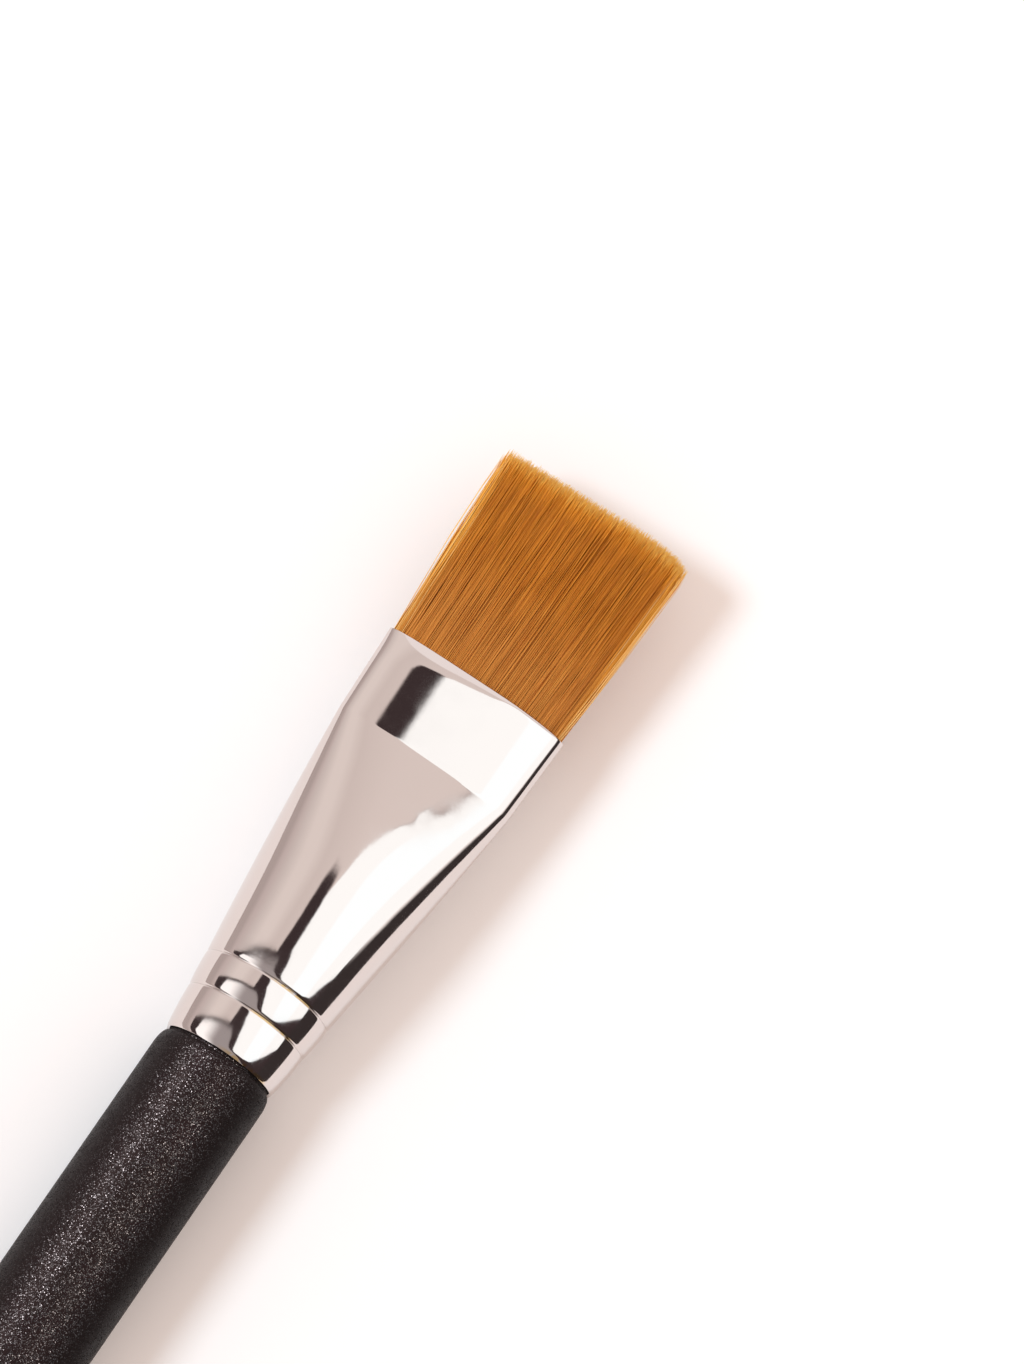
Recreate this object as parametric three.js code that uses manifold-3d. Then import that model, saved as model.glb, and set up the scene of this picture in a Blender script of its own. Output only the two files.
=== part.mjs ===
// A flat, square-cut brush: a turned and lacquered wooden handle, a plated ferrule drawn as a cone
// and pressed flat at its mouth, and a tuft of straight filaments set in resin.
// Units are millimetres. +X runs along the brush to the tip, +Y across the flat and +Z up.
// The brush lies on z = 0, with the origin under the middle of its length.
import * as THREE from "three";
import { mergeVertices } from "three/addons/utils/BufferGeometryUtils.js";
import Module from "manifold-3d";

// Handle
const handleLength = 120; // tail to shoulder
const handleDiameter = 12.1;
const bellyLength = 40; // parallel part behind the shoulder
const tailDiameter = 6.6;
const shoulderLength = 1.6;
const shoulderDrop = 0.45;
const shoulderGap = 0.3; // dark line between the shoulder and the ferrule
const tenonDiameter = 10.9;
const tenonOverrun = 2.5; // how far the tenon passes the upper crimp
const tenonChamfer = 0.8;
const tenonGap = 0.1;

// Ferrule, measured along the brush from its base edge
const ferruleLength = 43.5;
const ferruleWall = 0.3;
const coneFlare = 0.9; // growth of the radius from the base to the upper crimp
const bandCrown = 0.08; // barrel of the two bands between the crimps
const lowerCrimp = 4.6;
const upperCrimp = 8.1;
const crimpWidth = 0.36;
const crimpDepth = 0.1;
const flareBow = 0.13; // outward bow of the sides between the upper crimp and the land
const roundLength = 1.9; // tube left round between the upper crimp and the pressed part
const pressSlope = 0.32; // fall of the pressed faces where they meet the land
const flatLength = 14.2; // from where the pressed faces start to go flat, to the land
const flatPower = 1.6; // how late the flat opens out to the land
const landLength = 9.1; // parallel pressed part behind the mouth
const landWidth = 19.1;
const landThickness = 5.7;
const landFlat = 6; // width of the truly flat part of the land
const mouthWidth = 19.7;
const lipLength = 2.4;
const lipDrop = 0.4; // how far the lip is turned in on the broad faces

// Tuft
const tuftLength = 20.5; // free length out of the mouth
const tipWidth = 20.4;
const tipThickness = 3.8;
const cornerDrop = 0.4; // how much shorter the corner filaments are
const tipRagged = 0.4; // spread of the filament lengths
const strandRadius = 0.2;
const strandTipRadius = 0.12;
const strandPitch = 0.38; // across the flat
const rowsPerLayer = 2;
const tuftGap = 0.1; // between the outer filaments and the bore

// Setting inside the ferrule
const rootSetback = 7; // front of the set roots behind the mouth
const rootLength = 9;
const resinLength = 5; // cast behind the roots
const settingGap = 0.1; // between the cast pieces and the bore
const layerGap = 0.04; // between neighbouring cast pieces
const adhesiveStart = 2; // from the base edge
const adhesiveGap = 0.04; // film between the adhesive, the tenon and the bore

// Facets
const roundSides = 32;
const strandSides = 3;
const taperSteps = 14;
const endSteps = 5;
const flareSteps = 12;

const wasm = await Module();
wasm.setup();

const layerNames = ["bottom", "lower_core", "upper_core", "top"];
const baseRadius = tenonDiameter / 2 + tenonGap + ferruleWall;
const ringRadius = baseRadius + coneFlare;
const pressStart = upperCrimp + roundLength;
const landStart = ferruleLength - landLength;
const flatStart = landStart - flatLength;
const lipStart = ferruleLength - lipLength;
const tipEnd = ferruleLength + tuftLength;
const tailEnd = -shoulderGap - handleLength;
const tenonEnd = upperCrimp + tenonOverrun;
const rootFront = ferruleLength - rootSetback;
const rootBack = rootFront - rootLength;
const resinBack = rootBack - resinLength;

const lerp = THREE.MathUtils.lerp;
const share = (value, from, to) => (value - from) / (to - from);
const bow = (part) => 4 * part * (1 - part);

// Materials
const lacquer = new THREE.MeshStandardMaterial({ color: 0x2b2626, roughness: 0.4, metalness: 0 });
const nickel = new THREE.MeshStandardMaterial({ color: 0xd9cfcb, roughness: 0.08, metalness: 1 });
const filament = new THREE.MeshStandardMaterial({ color: 0xb8742d, roughness: 0.5, metalness: 0 });
const resin = new THREE.MeshStandardMaterial({ color: 0xc9b48a, roughness: 0.3, metalness: 0 });

// Radius of the round cone between the base edge and the upper crimp, without the crimps
function coneRadius(along) {
  const crown = along < lowerCrimp ? bow(along / lowerCrimp) : bow(share(along, lowerCrimp, upperCrimp));
  return baseRadius + coneFlare * (along / upperCrimp) + bandCrown * crown;
}

// Depth of the rolled crimps, a cosine groove at each
function crimpAt(along) {
  const nearest = Math.min(Math.abs(along - lowerCrimp), Math.abs(along - upperCrimp));
  const reach = crimpWidth / 2;
  return nearest < reach ? crimpDepth * Math.cos((nearest / reach) * (Math.PI / 2)) : 0;
}

// Half width of the flare between the upper crimp and the land
function flareWide(along) {
  const part = share(along, upperCrimp, landStart);
  return lerp(ringRadius, landWidth / 2, part) + flareBow * bow(part);
}

// Half thickness of the flare: it leaves the round part without a bend and is pressed down to the land
function flareThick(along) {
  if (along <= pressStart) {
    return flareWide(along);
  }
  const third = (landStart - pressStart) / 3;
  const pressed = new THREE.CubicBezierCurve(
    new THREE.Vector2(pressStart, flareWide(pressStart)),
    new THREE.Vector2(pressStart + third, flareWide(pressStart + third)),
    new THREE.Vector2(landStart - third, landThickness / 2 + pressSlope * third),
    new THREE.Vector2(landStart, landThickness / 2),
  );
  return pressed.getPoint(share(along, pressStart, landStart)).y;
}

// Half width of the flat that opens out on the pressed faces
function flareFlat(along) {
  const part = Math.max(0, share(along, flatStart, landStart));
  return (landFlat / 2) * part ** flatPower;
}

// Half width, half thickness and half flat of the ferrule's outside
function ferruleSection(along) {
  const crimp = crimpAt(along);
  if (along <= upperCrimp) {
    const radius = coneRadius(along) - crimp;
    return { wide: radius, thick: radius, flat: 0 };
  }
  if (along <= landStart) {
    return { wide: flareWide(along) - crimp, thick: flareThick(along) - crimp, flat: flareFlat(along) };
  }
  const wide = lerp(landWidth / 2, mouthWidth / 2, share(along, landStart, ferruleLength));
  const turned = Math.max(0, share(along, lipStart, ferruleLength)) ** 2 * lipDrop;
  return { wide, thick: landThickness / 2 - turned, flat: landFlat / 2 };
}

// Half width of a flat oval at a share of its half thickness
function ovalReach({ wide, flat }, height) {
  return flat + (wide - flat) * Math.sqrt(Math.max(0, 1 - height * height));
}

// Ring of points round the flat oval, with a facet centred on each broad face
function ovalRing(along, { wide, thick, flat }) {
  return Array.from({ length: roundSides }, (_, index) => {
    const angle = ((index + 0.5) / roundSides) * 2 * Math.PI;
    const side = Math.sign(Math.cos(angle)) * flat;
    return new THREE.Vector3(along, side + (wide - flat) * Math.cos(angle), thick * Math.sin(angle));
  });
}

// Ring of the ferrule's section, moved in from its outside
function ferruleRing(along, inset) {
  const { wide, thick, flat } = ferruleSection(along);
  return ovalRing(along, { wide: wide - inset, thick: thick - inset, flat });
}

// Skin over rings that run to +X: capped at both ends, or joined back to the first ring
function skin(rings, capped) {
  const count = rings[0].length;
  const points = rings.flat();
  const faces = [];
  const bands = capped ? rings.length - 1 : rings.length;
  for (let band = 0; band < bands; band += 1) {
    const near = band * count;
    const far = ((band + 1) % rings.length) * count;
    for (let index = 0; index < count; index += 1) {
      const next = (index + 1) % count;
      faces.push(near + index, near + next, far + next);
      faces.push(near + index, far + next, far + index);
    }
  }
  if (capped) {
    const last = (rings.length - 1) * count;
    for (let index = 1; index < count - 1; index += 1) {
      faces.push(0, index + 1, index);
      faces.push(last, last + index, last + index + 1);
    }
  }
  const geometry = new THREE.BufferGeometry().setFromPoints(points);
  geometry.setIndex(faces);
  return geometry;
}

// Closed solid from a geometry
function solidFrom(geometry) {
  const bare = geometry.clone();
  bare.deleteAttribute("normal");
  bare.deleteAttribute("uv");
  const merged = mergeVertices(bare);
  const vertProperties = new Float32Array(merged.attributes.position.array);
  const triVerts = new Uint32Array(merged.index.array);
  return new wasm.Manifold(new wasm.Mesh({ numProp: 3, vertProperties, triVerts }));
}

// Geometry from a closed solid
function geometryFrom(solid) {
  const { vertProperties, triVerts } = solid.getMesh();
  const geometry = new THREE.BufferGeometry();
  geometry.setAttribute("position", new THREE.BufferAttribute(vertProperties, 3));
  geometry.setIndex(new THREE.BufferAttribute(triVerts, 1));
  return geometry;
}

function meshOf(name, geometry, material) {
  geometry.computeVertexNormals();
  const mesh = new THREE.Mesh(geometry, material);
  mesh.name = name;
  return mesh;
}

// Revolve of a profile of (radius, along) points about the brush's axis
function revolve(profile) {
  const points = profile.map(([radius, along]) => new THREE.Vector2(radius, along));
  return new THREE.LatheGeometry(points, roundSides, Math.PI / roundSides).rotateZ(-Math.PI / 2);
}

// Turned handle: rounded tail, long taper, parallel belly, rounded shoulder and tenon
function makeHandle() {
  const belly = handleDiameter / 2;
  const tail = tailDiameter / 2;
  const shoulder = -shoulderGap;
  const bellyStart = shoulder - bellyLength;
  const tenon = tenonDiameter / 2;
  const profile = [[0, tailEnd]];
  for (let step = 1; step <= endSteps; step += 1) {
    const angle = (step / endSteps) * (Math.PI / 2);
    profile.push([tail * Math.sin(angle), tailEnd + tail * (1 - Math.cos(angle))]);
  }
  for (let step = 1; step <= taperSteps; step += 1) {
    const part = step / taperSteps;
    const ease = (1 - Math.cos(part * Math.PI)) / 2;
    profile.push([lerp(tail, belly, ease), lerp(tailEnd + tail, bellyStart, part)]);
  }
  for (let step = 0; step <= endSteps; step += 1) {
    const angle = (step / endSteps) * (Math.PI / 2);
    const drop = shoulderDrop * (1 - Math.cos(angle));
    profile.push([belly - drop, shoulder - shoulderLength * (1 - Math.sin(angle))]);
  }
  profile.push([tenon, shoulder], [tenon, tenonEnd - tenonChamfer]);
  profile.push([tenon - tenonChamfer, tenonEnd], [0, tenonEnd]);
  return meshOf("handle", revolve(profile), lacquer);
}

// Stations along the ferrule where its wall bends
function ferruleStations() {
  const groove = (crimp) => [-0.5, -0.25, 0, 0.25, 0.5].map((part) => crimp + part * crimpWidth);
  const middle = (from, to) => (from + to) / 2;
  const stations = [0, middle(0, lowerCrimp), ...groove(lowerCrimp)];
  stations.push(middle(lowerCrimp, upperCrimp), ...groove(upperCrimp));
  const flareStart = stations.at(-1);
  for (let step = 1; step <= flareSteps; step += 1) {
    stations.push(lerp(flareStart, landStart, step / flareSteps));
  }
  return [...stations, lipStart, middle(lipStart, ferruleLength), ferruleLength];
}

// Thin tube: the outside from base to mouth, then the bore from mouth to base
function makeFerrule() {
  const stations = ferruleStations();
  const outside = stations.map((along) => ferruleRing(along, 0));
  const bore = stations.map((along) => ferruleRing(along, ferruleWall)).reverse();
  return meshOf("ferrule", skin([...outside, ...bore], false), nickel);
}

// Adhesive sleeve between the straight tenon and the cone, moulded into the crimps
function makeAdhesive() {
  const inside = tenonDiameter / 2 + adhesiveGap;
  const end = upperCrimp + crimpWidth / 2;
  const stations = ferruleStations().filter((along) => along > adhesiveStart && along < end);
  const outside = [adhesiveStart, ...stations, end].map((along) => {
    return [ferruleSection(along).thick - ferruleWall - adhesiveGap, along];
  });
  const profile = [[inside, end], [inside, adhesiveStart], ...outside, [inside, end]];
  return meshOf("tenon_adhesive", revolve(profile), resin);
}

// Rings of a cast piece that fills the bore between two places
function castRings(from, to) {
  const between = ferruleStations().filter((along) => along > from && along < to);
  return [from, ...between, to].map((along) => ferruleRing(along, ferruleWall + settingGap));
}

function makeRootResin() {
  return meshOf("root_resin", skin(castRings(resinBack, rootBack - layerGap), true), resin);
}

// Section of the bore that holds the filaments' centre lines
function boreSection(along) {
  const { wide, thick, flat } = ferruleSection(along);
  const inset = ferruleWall + tuftGap + strandRadius;
  return { wide: wide - inset, thick: thick - inset, flat };
}

// Section of the filaments' centre lines at the tip, as flat as in the mouth
function tipSection() {
  const mouth = boreSection(ferruleLength);
  const wide = tipWidth / 2 - strandTipRadius;
  return { wide, thick: tipThickness / 2 - strandTipRadius, flat: mouth.flat * (wide / mouth.wide) };
}

// Repeatable spread from 0 to 1
function spread(row, column) {
  const value = Math.sin(row * 12.9898 + column * 78.233) * 43758.5453;
  return value - Math.floor(value);
}

// One tapered filament, at a share of the tuft's width and of its thickness
function strandSolid(across, height, length) {
  const ringAt = (along, section, radius) => {
    const side = across * ovalReach(section, height);
    return Array.from({ length: strandSides }, (_, index) => {
      const angle = Math.PI / 2 + (index / strandSides) * 2 * Math.PI;
      const up = height * section.thick + radius * Math.sin(angle);
      return new THREE.Vector3(along, side + radius * Math.cos(angle), up);
    });
  };
  const root = ringAt(rootFront - strandRadius, boreSection(rootFront), strandRadius);
  const mouth = ringAt(ferruleLength, boreSection(ferruleLength), strandRadius);
  const tip = ringAt(length, tipSection(), strandTipRadius);
  return solidFrom(skin([root, mouth, tip], true));
}

// Layer of filaments with its slice of the set roots
function makeFilaments(layer) {
  const rows = layerNames.length * rowsPerLayer;
  const heightOf = (row) => (2 * row) / (rows - 1) - 1;
  const inMouth = boreSection(ferruleLength);
  const atRoot = boreSection(rootFront);
  const firstRow = layer * rowsPerLayer;
  const slabEdge = (row) => heightOf(row - 0.5) * atRoot.thick;
  const beyond = ringRadius;
  const bottom = layer === 0 ? -beyond : slabEdge(firstRow) + layerGap / 2;
  const top = layer === layerNames.length - 1 ? beyond : slabEdge(firstRow + rowsPerLayer) - layerGap / 2;
  const slab = new THREE.BoxGeometry(rootLength * 2, mouthWidth * 2, top - bottom);
  slab.translate((rootBack + rootFront) / 2, 0, (bottom + top) / 2);
  const roots = solidFrom(skin(castRings(rootBack, rootFront), true)).intersect(solidFrom(slab));
  const strands = [];
  for (let row = firstRow; row < firstRow + rowsPerLayer; row += 1) {
    const height = heightOf(row);
    const columns = Math.floor((2 * ovalReach(inMouth, height)) / strandPitch) + 1;
    for (let column = 0; column < columns; column += 1) {
      const across = (2 * column) / (columns - 1) - 1;
      const shorter = cornerDrop * across ** 8 + tipRagged * spread(row, column);
      strands.push(strandSolid(across, height, tipEnd - shorter));
    }
  }
  const tuft = wasm.Manifold.union([roots, ...strands]);
  return meshOf(`filaments_${layerNames[layer]}`, geometryFrom(tuft), filament);
}

// The brush lies on the fullest place of the flare, on the facet that faces down
const fullest = Math.max(...ferruleStations().map((along) => ferruleSection(along).thick));
const axisHeight = fullest * Math.cos(Math.PI / roundSides);

const brush = new THREE.Group();
brush.add(makeHandle(), makeFerrule(), makeAdhesive(), makeRootResin());
layerNames.forEach((_, layer) => brush.add(makeFilaments(layer)));
brush.position.set(-(tailEnd + tipEnd) / 2, 0, axisHeight);

const group = new THREE.Group();
group.add(brush);

export default group;
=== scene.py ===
import math
import bmesh
import bpy
import numpy as np
from mathutils import Matrix, Vector


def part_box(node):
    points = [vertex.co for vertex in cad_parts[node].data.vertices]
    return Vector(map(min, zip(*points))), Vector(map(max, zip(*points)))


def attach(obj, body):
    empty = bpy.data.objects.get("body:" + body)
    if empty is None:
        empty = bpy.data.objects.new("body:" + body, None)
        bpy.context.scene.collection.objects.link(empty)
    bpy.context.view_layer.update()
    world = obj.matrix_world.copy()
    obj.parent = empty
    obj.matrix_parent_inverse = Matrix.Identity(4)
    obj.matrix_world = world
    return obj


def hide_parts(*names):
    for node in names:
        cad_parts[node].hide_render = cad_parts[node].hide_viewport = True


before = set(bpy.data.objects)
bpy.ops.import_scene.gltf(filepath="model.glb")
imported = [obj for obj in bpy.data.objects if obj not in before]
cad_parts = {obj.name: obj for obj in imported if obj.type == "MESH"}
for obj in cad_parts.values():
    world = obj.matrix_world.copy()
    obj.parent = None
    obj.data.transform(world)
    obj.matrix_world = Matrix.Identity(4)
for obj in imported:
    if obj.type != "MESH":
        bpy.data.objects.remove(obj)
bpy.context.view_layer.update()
bpy.context.scene.view_settings.view_transform = "Standard"
mm = 0.001
tiny = 1e-6  # metres, under which two places count as one
handleLow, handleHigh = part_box("handle")
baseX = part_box("ferrule")[0].x  # base edge of the ferrule, where every u below starts
axisZ = (handleLow.z + handleHigh.z) / 2
print("frame loaded, axis height", round(axisZ / mm, 3), "mm")


def lerp(a, b, part):
    return a + (b - a) * part


def bulge(height, part):  # nothing at both ends, full in the middle
    return height * 4 * part * (1 - part)


def clearSelection():
    if bpy.context.object and bpy.context.object.mode != "OBJECT":
        bpy.ops.object.mode_set(mode="OBJECT")
    bpy.ops.object.select_all(action="DESELECT")


def pickPoints(piece, test):
    shape = bmesh.from_edit_mesh(piece.data)
    for point in shape.verts:
        point.select_set(test(point.co))
    shape.select_flush_mode()
    bmesh.update_edit_mesh(piece.data)


def applyModifier(piece, kind, **settings):
    modifier = piece.modifiers.new(kind.lower(), kind)
    for name, value in settings.items():
        setattr(modifier, name, value)
    bpy.context.view_layer.objects.active = piece
    bpy.ops.object.modifier_apply(modifier=modifier.name)


def smoothShade(piece, degrees):
    clearSelection()
    piece.select_set(True)
    bpy.context.view_layer.objects.active = piece
    bpy.ops.object.shade_smooth_by_angle(angle=math.radians(degrees))


def addNode(tree, kind, settings=None, feeds=None):
    node = tree.nodes.new(kind)
    for name, value in (settings or {}).items():
        setattr(node, name, value)
    for name, value in (feeds or {}).items():
        if isinstance(value, bpy.types.NodeSocket):
            tree.links.new(value, node.inputs[name])
        else:
            node.inputs[name].default_value = value
    return node


def mathOut(tree, operation, *values):
    node = addNode(tree, "ShaderNodeMath", {"operation": operation}, dict(enumerate(values)))
    return node.outputs[0]


def vectorOut(tree, operation, *values):
    node = addNode(tree, "ShaderNodeVectorMath", {"operation": operation}, dict(enumerate(values)))
    return node.outputs[0]


def rangeOut(tree, value, low, high, toLow=0.0, toHigh=1.0):
    feeds = {"Value": value, "From Min": low, "From Max": high, "To Min": toLow, "To Max": toHigh}
    return addNode(tree, "ShaderNodeMapRange", {"interpolation_type": "SMOOTHSTEP"}, feeds).outputs["Result"]


def mixOut(tree, part, first, second):
    node = addNode(tree, "ShaderNodeMix", {"data_type": "RGBA"}, {0: part, 6: first, 7: second})
    return node.outputs[2]


def newMaterial(name):
    material = bpy.data.materials.new(name)
    material.use_nodes = True
    tree = material.node_tree
    shader = tree.nodes["Principled BSDF"]
    place = addNode(tree, "ShaderNodeTexCoord").outputs["Object"]
    return material, tree, shader, place


def bareMaterial(name):
    material = bpy.data.materials.new(name)
    material.use_nodes = True
    material.node_tree.nodes.clear()
    return material, material.node_tree


def newGroup(name, inputs, outputs):
    group = bpy.data.node_groups.new(name, "ShaderNodeTree")
    for socket, kind in inputs.items():
        group.interface.new_socket(socket, in_out="INPUT", socket_type=kind)
    for socket, kind in outputs.items():
        group.interface.new_socket(socket, in_out="OUTPUT", socket_type=kind)
    return group, group.nodes.new("NodeGroupInput"), group.nodes.new("NodeGroupOutput")


# camera as fitted to the photograph's edges
cameraSet = {
    "target": (73.968, -2.474),  # x and y in mm, at the height of the brush's axis
    "distance": 900.0,
    "azimuth": -86.426,
    "elevation": 76.201,
    "roll": 30.863,
    "pixelsPerMm": 10.644,
    "imageHeight": 1364,  # pixels
    "sensor": 36.0,
}


def placeCamera():
    turn, rise, roll = (math.radians(cameraSet[key]) for key in ("azimuth", "elevation", "roll"))
    back = Vector((math.sin(turn) * math.cos(rise), -math.cos(turn) * math.cos(rise), math.sin(rise)))
    right = Vector((math.cos(turn), math.sin(turn), 0))
    up = back.cross(right)
    sideways = right * math.cos(roll) + up * math.sin(roll)
    upward = up * math.cos(roll) - right * math.sin(roll)
    data = bpy.data.cameras.new("photoCamera")
    data.sensor_width = cameraSet["sensor"]
    zoom = cameraSet["pixelsPerMm"] * cameraSet["distance"] / cameraSet["imageHeight"]
    data.lens = zoom * data.sensor_width
    camera = bpy.data.objects.new("photoCamera", data)
    bpy.context.scene.collection.objects.link(camera)
    turned = Matrix((sideways, upward, back)).transposed().to_4x4()
    middle = Vector((cameraSet["target"][0] * mm, cameraSet["target"][1] * mm, axisZ))
    camera.matrix_world = Matrix.Translation(middle + back * cameraSet["distance"] * mm) @ turned
    bpy.context.scene.camera = camera


placeCamera()
print("camera placed")

# studio: pale floor, soft key from the left, cards that only reflections see
studio = {
    "fill": (0.86, 0.70, 0.63, 1),
    "backdrop": (1, 1, 1, 1),  # what the camera sees past the floor
    "keyColor": (0.70, 0.883, 1.0),
    "keyPower": 1.56,
    "keyTurn": (-35.0, -17.0),  # degrees from upright: to the side, along the brush
    "keySpread": 16.0,
    "floorColor": (0.93, 0.93, 0.93, 1),
    "floorLift": (0.085, 0.085, 0.085, 1),  # paper white that only the camera and reflections see
    "floorSize": 8.0,  # metres
    "restFront": (41.79, -0.05),  # fullest place of the flare: x and height in mm
    "restBack": (-20.85, 1.18),  # underside of the handle
}


def buildFloor():
    clearSelection()
    bpy.ops.mesh.primitive_plane_add(size=studio["floorSize"])
    floor = bpy.context.object
    floor.name = "paleFloor"
    frontX, frontZ = studio["restFront"]
    backX, backZ = studio["restBack"]
    slope = (backZ - frontZ) / (frontX - backX)
    floor.rotation_euler = (0, math.atan(slope), 0)
    floor.location = (frontX * mm, 0, frontZ * mm)
    material, tree = bareMaterial("pale paper")
    path = addNode(tree, "ShaderNodeLightPath")
    seen = mathOut(tree, "MAXIMUM", path.outputs["Is Camera Ray"], path.outputs["Is Glossy Ray"])
    paper = addNode(tree, "ShaderNodeBsdfDiffuse", feeds={"Color": studio["floorColor"]})
    lift = addNode(tree, "ShaderNodeEmission", feeds={"Color": studio["floorLift"], "Strength": seen})
    both = addNode(tree, "ShaderNodeAddShader", feeds={0: paper.outputs[0], 1: lift.outputs[0]})
    addNode(tree, "ShaderNodeOutputMaterial", feeds={"Surface": both.outputs[0]})
    floor.data.materials.append(material)


def addSun(name, power, color, spread, toward):
    light = bpy.data.lights.new(name, "SUN")
    light.energy = power
    light.color = color
    light.angle = math.radians(spread)
    sun = bpy.data.objects.new(name, light)
    bpy.context.scene.collection.objects.link(sun)
    sun.rotation_mode = "QUATERNION"
    sun.rotation_quaternion = toward.to_track_quat("Z", "Y")
    return sun


def buildKey():
    side, along = (math.radians(value) for value in studio["keyTurn"])
    toward = Vector((math.sin(along), -math.sin(side), math.cos(side)))
    key = addSun("softKey", studio["keyPower"], studio["keyColor"], studio["keySpread"], toward)
    key.visible_glossy = False


# cards round the brush: lateral runs from left to right, forward towards the tip, in degrees from upright
darkRoom = (0.058, 0.041, 0.043, 1)
landForward = 13.4  # where the flat land looks, and where leaning edges keep their place
farLeanFrom = 8.0  # lateral, from where a leaning far edge leans
cardSoft = 0.08  # how soft an edge is, as a share of its rounding
studioCards = {  # span: left, right, near, far; lean: of left, right, far; later ones cover earlier ones
    "backRoom": {"span": (-200, 200, -95, -0.5), "round": 3.0, "color": darkRoom},
    "ceiling": {"span": (-80, 120, 50.4, 120), "round": 3.0, "color": (1.13, 1.07, 1.06, 1)},
    "frame": {
        "span": (-10.9, 130, -12, 44.4), "lean": (0.44, 0, -0.25), "round": 4.0,
        "color": (0.56, 0.49, 0.47, 1),
    },
    "window": {
        "span": (-10.9, 130, -12, 43.5), "lean": (0.44, 0, -0.25), "round": 4.0,
        "color": (1.42, 1.49, 1.50, 1),
    },
    "pane": {
        "span": (25.0, 57, -9, 40.5), "lean": (-0.3, 0, -0.25), "round": 6.0,
        "color": (1.43, 1.58, 1.64, 1),
    },
    "gap": {
        "span": (-20.0, -4.3, 0.5, 29.5), "lean": (0, -0.2, 0), "round": 4.0, "soft": 0.27,
        "color": darkRoom,
    },
    "lowGap": {"span": (-20.0, -13.1, -95, 3.0), "lean": (0, -1.1, 0), "round": 2.0, "color": darkRoom},
    "backRight": {"span": (103.0, 420, -95, 10), "lean": (2.7, 0, 0), "round": 5.0, "color": darkRoom},
    "lamp": {
        "span": (-70, -27.0, -60, -2), "lean": (0, -1.3, 0), "round": 7.0,
        "color": (1.5, 1.5, 1.5, 1), "fade": (0.46, 0.42, 0.42, 1),
    },
}
lampFade = (-55.0, -25.0)  # lateral, where the lamp falls off
wallShade = {  # lateral to colour
    -98.0: (0.60, 0.52, 0.50, 1),
    -86.0: (0.72, 0.62, 0.60, 1),
    -72.0: (0.83, 0.75, 0.72, 1),
    -58.0: (0.99, 0.90, 0.86, 1),
    -46.0: (0.99, 0.90, 0.86, 1),
    -32.0: (0.86, 0.765, 0.73, 1),
    0.0: (0.96, 0.86, 0.82, 1),
}


def buildCardGroup():
    names = ("Lateral", "Forward", "Left", "Right", "Near", "Far", "Round", "Soft")
    names += ("Left Lean", "Right Lean", "Far Lean")
    sockets = {name: "NodeSocketFloat" for name in names}
    group, entry, leave = newGroup("cardMask", sockets, {"Mask": "NodeSocketFloat"})
    given = entry.outputs
    rise = mathOut(group, "SUBTRACT", given["Forward"], landForward)
    aside = mathOut(group, "MAXIMUM", mathOut(group, "SUBTRACT", given["Lateral"], farLeanFrom), 0.0)
    leftEdge = mathOut(group, "MULTIPLY_ADD", rise, given["Left Lean"], given["Left"])
    rightEdge = mathOut(group, "MULTIPLY_ADD", rise, given["Right Lean"], given["Right"])
    farEdge = mathOut(group, "MULTIPLY_ADD", aside, given["Far Lean"], given["Far"])
    sideways = (given["Lateral"], leftEdge, rightEdge)
    lengthways = (given["Forward"], given["Near"], farEdge)
    mask = None
    for way, low, high in (sideways, lengthways):
        for edge, ends in ((low, (0.0, 1.0)), (high, (1.0, 0.0))):
            outer = mathOut(group, "SUBTRACT", edge, given["Round"])
            inner = mathOut(group, "ADD", edge, given["Round"])
            step = rangeOut(group, way, outer, inner, *ends)
            mask = step if mask is None else mathOut(group, "MULTIPLY", mask, step)
    outside = mathOut(group, "SUBTRACT", 0.5, given["Soft"])
    within = mathOut(group, "ADD", 0.5, given["Soft"])
    group.links.new(rangeOut(group, mask, outside, within), leave.inputs["Mask"])  # corners stay round
    return group


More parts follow.
